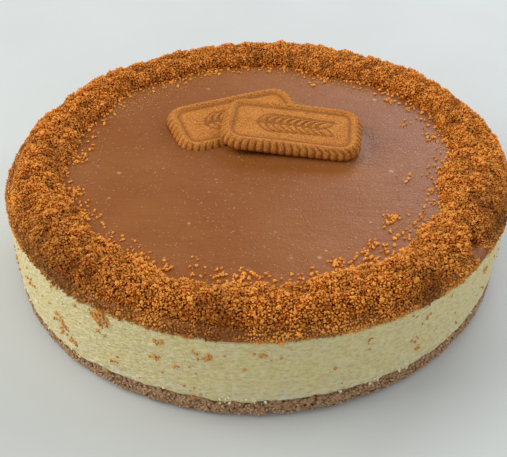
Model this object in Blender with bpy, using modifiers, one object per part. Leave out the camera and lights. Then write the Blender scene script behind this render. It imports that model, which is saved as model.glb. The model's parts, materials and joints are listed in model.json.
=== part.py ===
"""Whole round cheesecake: crumb base, cheese filling, spread layer, ring of biscuit crumbs and two biscuits on top."""
import math

import bmesh
import bpy
from mathutils import Matrix, Vector, noise

MM = 0.001

# Driving sizes, in metres.
CAKE_RADIUS = 100 * MM
OVAL_SHARE = 0.032          # how far the tin was out of round
BASE_HEIGHT = 8.0 * MM
FILLING_TOP = 36.8 * MM
SPREAD_TOP = 40.4 * MM
CRUMB_PEAK = 5.6 * MM       # height of the crumb ring over the spread
TOUCHING_GAP = 0.3 * MM     # between pieces that lie on each other

BISCUIT_LENGTH = 58 * MM
BISCUIT_WIDTH = 31.0 * MM
BISCUIT_THICKNESS = 5.7 * MM
BISCUIT_CORNER = 9.0 * MM
FLUTE_DEPTH = 0.45 * MM
FLUTE_POINTS = 108          # two for each flute round the edge
PANEL_INSET = 4.6 * MM
PANEL_DEPTH = 0.9 * MM

BACK_CENTRE = Vector((-12.3 * MM, 23.4 * MM))
BACK_TURN = math.radians(24.5)
BACK_TOP = SPREAD_TOP + 5.0 * MM     # at its middle
FRONT_CENTRE = Vector((11.0 * MM, 11.7 * MM))
FRONT_TURN = math.radians(-5.0)
LEAN_SLOPE = 0.125                   # rise over run of both biscuits, away from the viewer
LEAN_TURN = math.radians(15.0)       # which way is uphill, from +Y towards -X

BASE_STEPS = 120
FILLING_STEPS = 96
SPREAD_STEPS = 96
CRUMB_STEPS = 168

COLOURS = {
    "crumb_base": (0.50, 0.33, 0.19),
    "cheese_filling": (0.86, 0.79, 0.53),
    "spread_layer": (0.27, 0.11, 0.045),
    "crumb_ring": (0.47, 0.17, 0.03),
    "biscuit_back": (0.50, 0.22, 0.06),
    "biscuit_front": (0.50, 0.22, 0.06),
}
ROUGHNESS = {"spread_layer": 0.32, "cheese_filling": 0.55}


def clear_scene():
    for obj in list(bpy.data.objects):
        bpy.data.objects.remove(obj, do_unlink=True)


def new_collection(name):
    collection = bpy.data.collections.new(name)
    bpy.context.scene.collection.children.link(collection)
    return collection


def finish(name):
    """The Principled material of one sub-part."""
    material = bpy.data.materials.new(name)
    material.use_nodes = True
    shader = material.node_tree.nodes["Principled BSDF"]
    shader.inputs["Base Color"].default_value = (*COLOURS[name], 1.0)
    shader.inputs["Roughness"].default_value = ROUGHNESS.get(name, 0.9)
    shader.inputs["Metallic"].default_value = 0.0
    return material


def add_object(name, mesh, collection):
    obj = bpy.data.objects.new(name, mesh)
    collection.objects.link(obj)
    return obj


def outline_factor(angle):
    """The cake's outline in plan, as a share of its radius: a round tin a little out of true."""
    return 1.0 + OVAL_SHARE * math.sin(2 * angle) - 0.004 * math.cos(3 * angle)


def turned(name, profile, steps, collection, closed_loop=False):
    """A plain mesh made by turning a profile of (radius, height) points round Z with a Screw modifier."""
    edges = [(i, i + 1) for i in range(len(profile) - 1)]
    if closed_loop:
        edges.append((len(profile) - 1, 0))
    mesh = bpy.data.meshes.new(name + "_profile")
    mesh.from_pydata([(radius, 0, height) for radius, height in profile], edges, [])
    guide = add_object(name + "_profile", mesh, collection)
    screw = guide.modifiers.new("Screw", "SCREW")
    screw.axis = "Z"
    screw.steps = steps
    screw.render_steps = steps
    screw.use_merge_vertices = True
    screw.merge_threshold = 0.00001
    graph = bpy.context.evaluated_depsgraph_get()
    turned_mesh = bpy.data.meshes.new_from_object(guide.evaluated_get(graph))
    bpy.data.objects.remove(guide, do_unlink=True)
    turned_mesh.name = name
    work = bmesh.new()
    work.from_mesh(turned_mesh)
    bmesh.ops.remove_doubles(work, verts=work.verts, dist=0.00001)
    bmesh.ops.recalc_face_normals(work, faces=work.faces)
    work.to_mesh(turned_mesh)
    work.free()
    return add_object(name, turned_mesh, collection)


def reshape(obj, place):
    """Moves every vertex to place(angle, radius, height), which gives a new radius and height."""
    for vertex in obj.data.vertices:
        radius = math.hypot(vertex.co.x, vertex.co.y)
        angle = math.atan2(vertex.co.y, vertex.co.x)
        radius, height = place(angle, radius, vertex.co.z)
        vertex.co = Vector((radius * math.cos(angle), radius * math.sin(angle), height))


def crags(angle, height, size, seed):
    """Rough relief from -1 to 1 that runs round the cake, with lumps of the given size."""
    point = Vector((math.cos(angle), math.sin(angle), height / CAKE_RADIUS)) * (CAKE_RADIUS / size)
    return noise.noise(point + Vector((seed, seed, seed)))


def make_base(collection):
    """Pressed crumb base with a craggy side, rounded in under its lower edge."""
    radius = CAKE_RADIUS
    profile = [
        (0, BASE_HEIGHT),
        (radius - 2.0 * MM, BASE_HEIGHT),
        (radius - 0.4 * MM, BASE_HEIGHT - 1.2 * MM),
        (radius - 0.2 * MM, BASE_HEIGHT - 3.4 * MM),
        (radius - 0.5 * MM, BASE_HEIGHT - 5.6 * MM),
        (radius - 1.9 * MM, 0),
        (0, 0),
    ]
    base = turned("crumb_base", profile, BASE_STEPS, collection)

    def place(angle, old, height):
        if old < radius / 2:
            return old, height
        rough = 0.9 * MM * crags(angle, height, 5.0 * MM, 3.1)
        return old * outline_factor(angle) + rough, height

    reshape(base, place)
    return base


def make_filling(collection):
    """Set cheese filling, with the faint smears that the tin's wall left on its side."""
    radius = CAKE_RADIUS
    low = BASE_HEIGHT + TOUCHING_GAP
    profile = [
        (0, FILLING_TOP),
        (radius - 0.9 * MM, FILLING_TOP),
        (radius, FILLING_TOP - 0.9 * MM),
        (radius, FILLING_TOP - 9 * MM),
        (radius + 0.2 * MM, FILLING_TOP - 18 * MM),
        (radius, low + 2 * MM),
        (radius - 0.8 * MM, low),
        (0, low),
    ]
    filling = turned("cheese_filling", profile, FILLING_STEPS, collection)

    def place(angle, old, height):
        if old < radius / 2:
            return old, height
        return old * outline_factor(angle) + 0.3 * MM * crags(angle, 2.5 * height, 11 * MM, 7.7), height

    reshape(filling, place)
    return filling


def make_spread(collection):
    """Poured spread, a level layer out to the edge of the filling."""
    radius = CAKE_RADIUS - 0.3 * MM
    low = FILLING_TOP + TOUCHING_GAP
    profile = [
        (0, SPREAD_TOP),
        (radius - 1.6 * MM, SPREAD_TOP),
        (radius - 0.3 * MM, SPREAD_TOP - 0.9 * MM),
        (radius, SPREAD_TOP - 2.1 * MM),
        (radius - 0.3 * MM, low),
        (0, low),
    ]
    spread = turned("spread_layer", profile, SPREAD_STEPS, collection)
    reshape(spread, lambda angle, old, height: (old * outline_factor(angle), height))
    return spread


def ring_inner_share(angle):
    """Where the crumbs end on the spread, as a share of the outline: uneven, with a few heaps that reach in."""
    share = 0.785 + 0.012 * math.sin(3 * angle + 0.6) + 0.010 * math.sin(7 * angle + 2.0)
    share += 0.009 * math.sin(13 * angle + 1.0)
    for centre, width, reach in ((352, 14, 0.075), (62, 13, 0.055), (160, 9, 0.02)):
        away = (math.degrees(angle) - centre + 180) % 360 - 180
        share -= reach * math.exp(-((away / width) ** 2))
    return share


def make_crumb_ring(collection):
    """Heap of biscuit crumbs round the rim: a low uneven bank with bumps of the larger crumbs' size."""
    inner = 0.785
    bank = [
        (0.000, 0.00), (0.030, 0.24), (0.11, 0.52), (0.21, 0.74), (0.32, 0.88), (0.43, 0.96),
        (0.54, 1.00), (0.64, 0.99), (0.74, 0.93), (0.83, 0.80), (0.91, 0.58), (0.965, 0.32), (1.0, 0.00),
    ]
    low = SPREAD_TOP + TOUCHING_GAP
    profile = [(CAKE_RADIUS * (inner + (1 - inner) * across), low + CRUMB_PEAK * up) for across, up in bank]
    profile.append((CAKE_RADIUS * (1 - 0.33 * (1 - inner)), low))
    profile.append((CAKE_RADIUS * (1 - 0.66 * (1 - inner)), low))
    ring = turned("crumb_ring", profile, CRUMB_STEPS, collection, closed_loop=True)

    def place(angle, old, height):
        across = (old / CAKE_RADIUS - inner) / (1 - inner)
        start = ring_inner_share(angle)
        edge = 0.982 + 0.007 * math.sin(5 * angle + 1.2) + 0.005 * math.sin(11 * angle)
        radius = CAKE_RADIUS * outline_factor(angle) * (start + (edge - start) * across)
        if height <= low + 0.01 * MM:
            return radius, low
        lift = 1.0 + 0.16 * crags(angle, old * 0.6, 26 * MM, 1.3)
        point = Vector((radius * math.cos(angle), radius * math.sin(angle), 0.0))
        bumps = 0.75 * MM * noise.noise(point / (3.4 * MM)) + 0.7 * MM * noise.noise(point / (7.5 * MM))
        share = min(1.0, (height - low) / (0.5 * CRUMB_PEAK))
        return radius + 0.5 * MM * crags(angle, height, 4 * MM, 9.2), low + (height - low) * lift + bumps * share

    reshape(ring, place)
    lowest = low + 0.15 * MM
    for vertex in ring.data.vertices:
        if vertex.co.z > low + 0.01 * MM:
            vertex.co.z = max(vertex.co.z, lowest)
    return ring


def rounded_rectangle(inset, flute):
    """Points round a biscuit's outline, drawn in by inset, with its edge fluted in and out by flute."""
    half_length = BISCUIT_LENGTH / 2 - inset
    half_width = BISCUIT_WIDTH / 2 - inset
    corner = max(BISCUIT_CORNER - inset, 1.5 * MM)
    along = BISCUIT_LENGTH / 2 - BISCUIT_CORNER
    across = BISCUIT_WIDTH / 2 - BISCUIT_CORNER
    arc = math.pi / 2 * BISCUIT_CORNER
    total = 4 * (along + across + arc)
    points = []
    for i in range(FLUTE_POINTS):
        here = total * i / FLUTE_POINTS
        quarter = int(here // (along + across + arc))
        rest = here - quarter * (along + across + arc)
        first, second = (across, along) if quarter % 2 == 0 else (along, across)
        if rest < first:
            share, bend = rest / first, 0.0
        elif rest < first + arc:
            share, bend = 1.0, (rest - first) / arc * math.pi / 2
        else:
            share, bend = 1.0 - (rest - first - arc) / second, math.pi / 2
        reach, side = half_length - corner, half_width - corner
        if quarter % 2 == 1:
            reach, side = side, reach
        fold = flute * (1 if i % 2 else -1)
        if bend == 0.0:
            x, y = reach + corner + fold, side * share
        elif bend == math.pi / 2:
            x, y = reach * share, side + corner + fold
        else:
            x = reach + (corner + fold) * math.cos(bend)
            y = side + (corner + fold) * math.sin(bend)
        turn = Matrix.Rotation(quarter * math.pi / 2, 2)
        points.append(turn @ Vector((x, y)))
    return points


def loft(name, sections, collection):
    """A closed solid through level sections, each (outline points, height), from the bottom to the top."""
    work = bmesh.new()
    rings = [[work.verts.new((p.x, p.y, height)) for p in points] for points, height in sections]
    for lower, upper in zip(rings, rings[1:]):
        for i in range(FLUTE_POINTS):
            j = (i + 1) % FLUTE_POINTS
            work.faces.new((lower[i], lower[j], upper[j], upper[i]))
    for ring, height in ((rings[0], sections[0][1]), (rings[-1], sections[-1][1])):
        middle = work.verts.new((0, 0, height))
        for i in range(FLUTE_POINTS):
            work.faces.new((ring[i], ring[(i + 1) % FLUTE_POINTS], middle))
    bmesh.ops.recalc_face_normals(work, faces=work.faces)
    mesh = bpy.data.meshes.new(name)
    work.to_mesh(mesh)
    work.free()
    return add_object(name, mesh, collection)


def make_biscuit(name, matrix, collection):
    """Fluted finger biscuit with a raised border round a sunken panel. Its underside's middle is at the origin."""
    top = BISCUIT_THICKNESS
    sections = [
        (rounded_rectangle(1.0 * MM, 0), 0),
        (rounded_rectangle(0.2 * MM, FLUTE_DEPTH), 1.4 * MM),
        (rounded_rectangle(0.4 * MM, FLUTE_DEPTH), top - 2.2 * MM),
        (rounded_rectangle(1.4 * MM, 0.5 * FLUTE_DEPTH), top - 0.6 * MM),
        (rounded_rectangle(2.9 * MM, 0), top),
        (rounded_rectangle(PANEL_INSET, 0), top - PANEL_DEPTH),
    ]
    biscuit = loft(name, sections, collection)
    biscuit.data.transform(matrix)
    return biscuit


def leaning(centre, turn, height):
    """Place of a biscuit on the slope that both share: its underside's middle is at centre, at the given height."""
    uphill = Vector((-math.sin(LEAN_TURN), math.cos(LEAN_TURN)))
    up = Vector((-LEAN_SLOPE * uphill.x, -LEAN_SLOPE * uphill.y, 1)).normalized()
    ahead = Vector((math.cos(turn), math.sin(turn), 0))
    along = (ahead - up * ahead.dot(up)).normalized()
    across = up.cross(along)
    turned_to = Matrix((along, across, up)).transposed().to_4x4()
    return Matrix.Translation(Vector((*centre, height))) @ turned_to


def back_matrix():
    return leaning(BACK_CENTRE, BACK_TURN, BACK_TOP - BISCUIT_THICKNESS)


def front_matrix():
    """The front biscuit lies on the back one's face and slopes down to the spread."""
    uphill = Vector((-math.sin(LEAN_TURN), math.cos(LEAN_TURN)))
    run = uphill.dot(FRONT_CENTRE - BACK_CENTRE)
    return leaning(FRONT_CENTRE, FRONT_TURN, BACK_TOP + 0.45 * MM + LEAN_SLOPE * run)


def cut_seat(spread, matrix, cutters):
    """Cuts the spread where the back biscuit has sunk in, with the gap that touching pieces keep."""
    grow = -TOUCHING_GAP - FLUTE_DEPTH
    sections = [(rounded_rectangle(grow, 0), -3 * MM), (rounded_rectangle(grow, 0), 2 * BISCUIT_THICKNESS)]
    cutter = loft("seat_cutter", sections, cutters)
    cutter.data.transform(matrix)
    cutter.hide_render = True
    cutter.display_type = "WIRE"
    cut = spread.modifiers.new("Seat", "BOOLEAN")
    cut.operation = "DIFFERENCE"
    cut.solver = "EXACT"
    cut.object = cutter


def main():
    clear_scene()
    cake = new_collection("cheesecake")
    cutters = new_collection("cutters")
    make_base(cake)
    make_filling(cake)
    spread = make_spread(cake)
    make_crumb_ring(cake)
    make_biscuit("biscuit_back", back_matrix(), cake)
    make_biscuit("biscuit_front", front_matrix(), cake)
    cut_seat(spread, back_matrix(), cutters)
    for obj in cake.objects:
        obj.data.materials.clear()
        obj.data.materials.append(finish(obj.name))
        obj.data.shade_smooth()
        obj.data.set_sharp_from_angle(angle=math.radians(40))


main()
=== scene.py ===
"""Looks of a whole round cheesecake: crumb base, set cheese, spread, heaped crumbs and two biscuits."""
import json
import math
import random

import bmesh
import bpy
from bpy.props import FloatProperty, FloatVectorProperty, IntProperty, PointerProperty
from mathutils import Matrix, Vector, noise

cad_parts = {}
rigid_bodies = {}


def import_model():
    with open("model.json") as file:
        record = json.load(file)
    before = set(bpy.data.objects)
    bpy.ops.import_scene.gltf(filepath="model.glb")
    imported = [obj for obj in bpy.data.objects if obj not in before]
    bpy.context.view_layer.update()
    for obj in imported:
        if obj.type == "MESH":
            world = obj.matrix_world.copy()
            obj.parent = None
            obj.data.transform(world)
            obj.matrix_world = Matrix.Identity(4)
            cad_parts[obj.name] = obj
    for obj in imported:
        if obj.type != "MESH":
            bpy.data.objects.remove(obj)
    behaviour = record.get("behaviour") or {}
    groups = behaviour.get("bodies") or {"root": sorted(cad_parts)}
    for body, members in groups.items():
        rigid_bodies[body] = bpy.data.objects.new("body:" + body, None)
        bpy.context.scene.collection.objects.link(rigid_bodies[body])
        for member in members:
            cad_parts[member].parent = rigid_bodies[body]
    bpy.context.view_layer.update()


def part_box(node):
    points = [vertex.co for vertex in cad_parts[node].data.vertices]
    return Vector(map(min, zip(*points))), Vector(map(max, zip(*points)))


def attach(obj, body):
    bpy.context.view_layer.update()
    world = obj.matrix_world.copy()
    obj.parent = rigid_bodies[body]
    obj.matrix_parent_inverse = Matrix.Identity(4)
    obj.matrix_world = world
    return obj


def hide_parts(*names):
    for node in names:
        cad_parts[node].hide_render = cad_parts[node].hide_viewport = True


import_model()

bl_info = {
    "name": "Round cheesecake",
    "version": (1, 0, 0),
    "blender": (4, 5, 0),
    "location": "3D View > Sidebar > Cheesecake",
    "description": "Builds a chilled cheesecake with a crumb rim and two biscuits, ready to render",
    "category": "Add Mesh",
}

MM = 0.001

# The cake's own sizes, read from its solids where they give them.
CAKE_RADIUS = 100 * MM
OVAL_SHARE = 0.032
BASE_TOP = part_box("crumb_base")[1].z
FILLING_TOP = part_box("cheese_filling")[1].z
SPREAD_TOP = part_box("spread_layer")[1].z
CRUMB_PEAK = 6.3 * MM
# The heap's own surface, as a share of the height to the tops of its loose crumbs.
CORE_SHARE = 0.93
# Where the crumbs end on the spread, as a share of the outline.
RIM_SHARE = 0.785
# Where they reach further in: direction and spread in degrees, and how far as a share of the outline.
RIM_HEAPS = ((352, 14, 0.075), (62, 13, 0.055), (160, 9, 0.02))
# The heap's section: how far across it from its inner edge, and its height, both as shares.
RIM_BANK = (
    (0.000, 0.00), (0.030, 0.24), (0.11, 0.52), (0.21, 0.74), (0.32, 0.88), (0.43, 0.96),
    (0.54, 1.00), (0.64, 0.99), (0.74, 0.93), (0.83, 0.80), (0.91, 0.64), (0.965, 0.42), (1.0, 0.00),
)
# The heap's lumps are worked out as if its section were this many mm long.
HEAP_SPAN = 20
# Where the spread shows at the edge: direction, spread in degrees, run down in mm, crumbs left above it.
BARE_EDGES = ((247, 5.0, 0.2, 0.80), (264, 4.0, 0.7, 0.80), (324, 2.0, 0.7, 0.0))
# Where the line between base and cheese dips, in degrees.
SEAM_DIP = 220
# Where the heap is browned darkest: direction and spread in degrees.
BROWNED_HEAPS = ((338, 8), (228, 13), (262, 4), (305, 4))

BISCUIT_LENGTH = 58 * MM
BISCUIT_WIDTH = 31.0 * MM
BISCUIT_THICKNESS = 5.7 * MM
BISCUIT_CORNER = 9.0 * MM
FLUTES = 54
FLUTE_DEPTH = 0.45 * MM
PANEL_INSET = 4.6 * MM
PANEL_DEPTH = 0.75 * MM
PANEL_EDGE = 0.5 * MM
BORDER_WIDTH = 2.9 * MM
BACK_CENTRE = Vector((-12.3 * MM, 23.4 * MM))
BACK_TURN = math.radians(24.5)
BACK_TOP = SPREAD_TOP + 5.0 * MM
FRONT_CENTRE = Vector((11.0 * MM, 11.7 * MM))
FRONT_TURN = math.radians(-5.0)
# Both biscuits lie on one slope, which rises towards the far side and LEAN_TURN to the left of it.
LEAN_SLOPE = 0.125
LEAN_TURN = math.radians(15.0)
UPHILL = Vector((-math.sin(LEAN_TURN), math.cos(LEAN_TURN)))

# Groups of crumbs that fell on the spread: direction in degrees, share of the radius, how many.
FALLEN_GROUPS = (
    (71, 0.64, 12), (25, 0.64, 5), (322, 0.64, 26), (316, 0.67, 8), (306, 0.70, 22), (301, 0.74, 16),
    (292, 0.72, 26), (289, 0.77, 30), (294, 0.76, 14), (259, 0.74, 9), (266, 0.73, 18), (264, 0.76, 16),
    (252, 0.72, 8), (245, 0.77, 22), (239, 0.77, 20), (204, 0.76, 16), (214, 0.77, 18), (228, 0.78, 14),
    (346, 0.60, 6), (185, 0.74, 10), (40, 0.72, 14), (14, 0.72, 16), (110, 0.74, 8),
)
# Patches of fine dust on the spread, in the same terms.
DUST_PATCHES = ((141, 0.71, 150), (132, 0.74, 130), (152, 0.74, 120), (124, 0.72, 50))
# Crumbs stuck to the cheese: direction in degrees, height in mm, how many, how far they spread in mm.
STUCK_GROUPS = (
    (227, 35, 5, 1.6), (227, 20, 9, 2.2), (229, 17, 12, 2.4), (231, 14, 9, 2.0), (235, 36, 5, 1.5),
    (239.5, 35, 34, 1.9), (240, 32, 14, 1.2), (240, 27, 4, 1.2), (242, 16, 6, 1.6), (251.5, 24.5, 6, 0.8),
    (252, 32, 5, 1.0), (255, 22, 4, 0.9), (260.5, 28, 8, 1.1), (261.5, 29.5, 6, 0.9), (259, 31.5, 4, 1.0),
    (258, 12.5, 5, 1.5), (271, 31.5, 4, 0.9), (303, 23, 4, 0.8), (304, 16, 4, 1.0), (306, 30, 3, 0.9),
    (291.5, 30, 5, 0.9), (327, 30, 4, 1.2), (285, 21, 3, 0.8), (216, 24, 10, 3.0), (205, 18, 8, 3.0),
    (150, 28, 6, 2.0), (100, 20, 5, 2.0), (40, 26, 6, 1.6), (10, 17, 5, 2.0),
)
# Where the foot of the cheese is most broken: direction and spread in degrees.
BROKEN_FOOT = ((267, 8), (299, 5), (232, 6))
# The surfaces that crumbs are scattered on have this many columns round the cake.
EMITTER_COLUMNS = 720

# Lesser colours of the finishes, which go with those in CakeColours.
CHEESE_MOTTLE = "#E6DBB2"
# Painted highlight and painted shade on the cheese's fine relief.
CHEESE_GRAIN_HIGHLIGHT = "#F6ECC2"
CHEESE_GRAIN_SHADE = "#BFAE6C"
RUBBED_CRUMB = "#B98648"
SPREAD_DRIFT = "#874E22"
SPREAD_CREASE_SHADE = "#7C4515"
BASE_PALE_GRAIN = "#C9AD8E"
BISCUIT_SHADE = "#B86C28"
BISCUIT_SAND_HIGHLIGHT = "#DC9A4E"
BISCUIT_GROOVE_SHADE_AND_BROWNING = "#6E3C16"
FLOOR_CLOUD = "#D3D6D3"
# Pale and browned colours, and a colour of painted shade for the pores, of the small pieces that have a crumb
# finish of their own.
PRESSED_GRAIN = ("#C9A27C", "#A57E58", "#6E4A2E")
BROKEN_CHEESE = ("#EFE6C2", "#E0D19C", "#C0AE78")
STUCK_CRUMB = ("#DC9C50", "#B87430", "#8A4A18")
BISCUIT_DUST = ("#E2B57C", "#C48D50", "#A06A34")

# What the camera sees: the frame is 507 pixels wide and the view's focal length is 750 pixels.
CAMERA_PLACE = Vector((0.0, -0.25747, 0.20976))
CAMERA_TARGET = Vector((-0.00353, 0.0018, 0.0))
CAMERA_ROLL = math.radians(1.60)
FOCAL_SHARE = 750 / 507
SENSOR_WIDTH = 36

# Soft lights: name, place, what it points at, width and height in metres, watts and tint.
LIGHTS = (
    ("window_light", (-1.05, 0.00, 0.82), (0, 0, 0), 0.9, 0.9, 11.0, "#FFFDF8"),
    ("back_sheen", (0.55, 1.25, 0.80), (0.05, 0, 0.04), 0.7, 0.6, 8.0, "#F4F6FF"),
    ("side_fill", (1.20, 0.40, 0.75), (0, 0, 0), 0.8, 0.8, 4.6, "#FBFCFF"),
    ("room_fill", (-0.40, -1.30, 1.10), (0, 0, 0), 1.2, 0.8, 1.2, "#FFFFFF"),
)
SKY = "#F1F5FA"
SKY_STRENGTH = 0.53
FLOOR_REACH = 4
FLOOR_DROP = 0.05 * MM


def linear(code):
    """An sRGB hex colour as linear red, green and blue."""
    channels = [int(code[i:i + 2], 16) / 255 for i in (1, 3, 5)]
    return tuple(c / 12.92 if c <= 0.04045 else ((c + 0.055) / 1.055) ** 2.4 for c in channels)


def colour(name, description, code):
    return FloatVectorProperty(name=name, description=description, default=linear(code), subtype="COLOR",
                               size=3, min=0.0, max=1.0)


class CakeSizes(bpy.types.PropertyGroup):
    """Sizes that a user would change."""

    fine_crumb: FloatProperty(name="Fine crumb", description="Width of the finest crumbs in the rim",
                              default=0.6 * MM, unit="LENGTH")
    middling_crumb: FloatProperty(name="Middling crumb", description="Width of most crumbs in the rim",
                                  default=0.95 * MM, unit="LENGTH")
    coarse_crumb: FloatProperty(name="Coarse crumb", description="Width of the largest crumbs in the rim",
                                default=1.35 * MM, unit="LENGTH")
    base_crumb: FloatProperty(name="Base crumb", description="Width of the crumbs pressed into the base",
                              default=0.95 * MM, unit="LENGTH")
    crag_depth: FloatProperty(name="Crag depth", description="How rough the base's side is",
                              default=0.55 * MM, unit="LENGTH")
    smear_depth: FloatProperty(name="Smear depth", description="Relief that the tin left on the cheese",
                               default=0.16 * MM, unit="LENGTH")
    ripple_height: FloatProperty(name="Ripple height", description="Unevenness of the poured spread",
                                 default=0.16 * MM, unit="LENGTH")
    seed: IntProperty(name="Seed", description="Draws another scatter of crumbs", default=7, min=0)


class CakeColours(bpy.types.PropertyGroup):
    """Colours that a user would change."""

    crumb_lit: colour("Crumb", "Broken biscuit where it is pale", "#FFB04A")
    crumb_browned: colour("Browned crumb", "Broken biscuit where it was browned", "#EC8020")
    # Painted shade: the colour of crumbs down in the gaps and creases of the heap, and in their pores.
    crumb_painted_shade: colour("Deep crumb", "Crumbs down in the gaps of the heap", "#581900")
    cheese: colour("Cheese", "Set cheese filling", "#F0DE9E")
    cheese_smear: colour("Cheese smear", "Filling where the tin dragged it", "#E2CF8A")
    cheese_bit: colour("Cheese bit", "Whitish broken bits by the base", "#F0EAD2")
    spread: colour("Spread", "Set biscuit spread", "#8E501A")
    # Also painted speckled sheen on the high points of the spread's fine grain.
    spread_bloom_and_sheen: colour("Pale spread", "Spread where fat has bloomed", "#9A5E2C")
    bubble: colour("Bubble", "Burst air bubbles in the spread", "#C79A72")
    base: colour("Base", "Pressed crumb base", "#AD8358")
    # Painted shade in the gaps between the pressed crumbs.
    base_gap_shade: colour("Base gaps", "Gaps between the pressed crumbs", "#553620")
    biscuit: colour("Biscuit", "Biscuit's sandy top", "#C97C34")
    # Painted shade in the dips of the biscuit's sandy top.
    biscuit_sand_shade: colour("Biscuit groove", "Biscuit where it is browned or pressed", "#8A4E1A")
    floor: colour("Floor", "Pale floor", "#CED1CE")


def sizes():
    return bpy.context.scene.cake_sizes


def colours():
    return bpy.context.scene.cake_colours


def heap_colours():
    return colours().crumb_lit, colours().crumb_browned, colours().crumb_painted_shade


# Nodes

def socket(sockets, name):
    """The socket in use that has this name or identifier."""
    return next(s for s in sockets if s.enabled and name in (s.name, s.identifier))


def add_node(tree, kind, inputs=None, **settings):
    """Adds a node. Settings are its properties, and inputs are values or the sockets that feed its own."""
    node = tree.nodes.new(kind)
    for name, value in settings.items():
        setattr(node, name, value)
    for name, value in (inputs or {}).items():
        target = socket(node.inputs, name)
        if isinstance(value, bpy.types.NodeSocket):
            tree.links.new(value, target)
        else:
            target.default_value = value
    return node


def out(node, name):
    return socket(node.outputs, name)


def new_finish(name, roughness, **sockets):
    """A material with its node tree, its shader and the place on the object that its patterns read."""
    material = bpy.data.materials.new(name)
    material.use_nodes = True
    tree = material.node_tree
    shader = tree.nodes["Principled BSDF"]
    shader.inputs["Roughness"].default_value = roughness
    for key, value in sockets.items():
        shader.inputs[key.replace("_", " ")].default_value = value
    place = out(add_node(tree, "ShaderNodeTexCoord"), "Object")
    return material, tree, shader, place


def rgba(value):
    return (*value, 1.0)


def tint(code):
    return rgba(linear(code))


def lumps(tree, place, size, detail=2.0, stretch=(1, 1, 1)):
    """A cloudy pattern from 0 to 1 with lumps of a size in metres, finer along each axis by its stretch."""
    mapped = add_node(tree, "ShaderNodeMapping", {"Vector": place, "Scale": stretch})
    cloud = add_node(tree, "ShaderNodeTexNoise", {"Vector": out(mapped, "Vector"), "Scale": 1 / size,
                                                  "Detail": detail})
    return out(cloud, "Fac")


def coated(tree, body, coat, pattern, low=0.0, high=1.0, most=1.0):
    """The body's colour under a coat: none where the pattern is at low, and most where it is at high."""
    share = add_node(tree, "ShaderNodeMapRange", {"Value": pattern, "From Min": low, "From Max": high,
                                                  "To Max": most})
    mixed = add_node(tree, "ShaderNodeMix", {"Factor": out(share, "Result"), "A": body, "B": coat},
                     data_type="RGBA")
    return out(mixed, "Result")


def surfaced(tree, shader, shade, height, depth, strength):
    """Gives the shader its colour, and relief from a height of 0 to 1, at most depth in metres."""
    tree.links.new(shade, shader.inputs["Base Color"])
    relief = add_node(tree, "ShaderNodeBump", {"Height": height, "Distance": depth, "Strength": strength})
    tree.links.new(out(relief, "Normal"), shader.inputs["Normal"])


def crumb_finish(name, lit, browned, painted_shade):
    """Baked biscuit, broken up: dry and matt, each grain paler or browner than the next, with painted shade
    in its open pores.
    """
    material, tree, shader, place = new_finish(name, 0.82, Specular_IOR_Level=0.25)
    tone = out(add_node(tree, "ShaderNodeAttribute", attribute_name="tone"), "Fac")
    crease_shade_and_browning = out(add_node(tree, "ShaderNodeAttribute", attribute_name="crease_shade_and_browning"), "Fac")
    cloud = lumps(tree, place, 9 * MM)
    pores = lumps(tree, place, 0.5 * MM, 3.0)
    baked = add_node(tree, "ShaderNodeMath", {"Value": cloud, "Value_001": 0.7, "Value_002": tone},
                     operation="MULTIPLY_ADD")
    grain = coated(tree, rgba(browned), rgba(lit), out(baked, "Value"), 0.10, 0.95)
    # Painted shade in the open pores, which are the low points of the relief.
    shade = coated(tree, rgba(painted_shade), grain, pores, 0.30, 0.42)
    # Painted shade down in the heap's creases, together with browning where the heap is browned, both read
    # from the emitter.
    shade = coated(tree, shade, rgba(painted_shade), crease_shade_and_browning)
    surfaced(tree, shader, shade, pores, 0.25 * MM, 0.7)
    return material


def grain_pattern(tree, place, size, low, high):
    """Packed grains: their cells, and the gaps between them and their height, both from 0 to 1."""
    cells = add_node(tree, "ShaderNodeTexVoronoi", {"Vector": place, "Scale": 1 / size})
    gaps = out(add_node(tree, "ShaderNodeMapRange", {"Value": out(cells, "Distance"), "From Min": low,
                                                     "From Max": high}), "Result")
    height = add_node(tree, "ShaderNodeMapRange", {"Value": gaps, "To Min": 1.0, "To Max": 0.0})
    return cells, gaps, out(height, "Result")


def heap_finish():
    """The inside of the crumb heap, seen in the gaps between loose crumbs: painted darker for the shade
    there, and finely broken.
    """
    material, tree, shader, place = new_finish("crumb_heap_painted_shade", 0.9, Specular_IOR_Level=0.15)
    _, gaps, height = grain_pattern(tree, place, 1.1 * MM, 0.15, 0.75)
    # Browned crumb with painted shade in the gaps between its fine grains.
    shade = coated(tree, rgba(colours().crumb_browned), rgba(colours().crumb_painted_shade), gaps)
    surfaced(tree, shader, shade, height, 0.5 * MM, 0.8)
    return material


def base_finish():
    """Biscuit crumb and butter, pressed hard: dull, close-packed pale grains with painted shade in the gaps
    between them.
    """
    material, tree, shader, place = new_finish("pressed_crumb", 0.85, Specular_IOR_Level=0.25)
    cells, gaps, height = grain_pattern(tree, place, 1.2 * MM, 0.45, 0.85)
    chance = add_node(tree, "ShaderNodeSeparateColor", {"Color": out(cells, "Color")})
    body = coated(tree, rgba(colours().base), tint(BASE_PALE_GRAIN), out(chance, "Red"), most=0.6)
    # Painted shade in the gaps between the grains, which are the low points of the relief.
    body = coated(tree, body, rgba(colours().base_gap_shade), gaps)
    surfaced(tree, shader, body, height, 0.3 * MM, 0.8)
    return material


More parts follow.
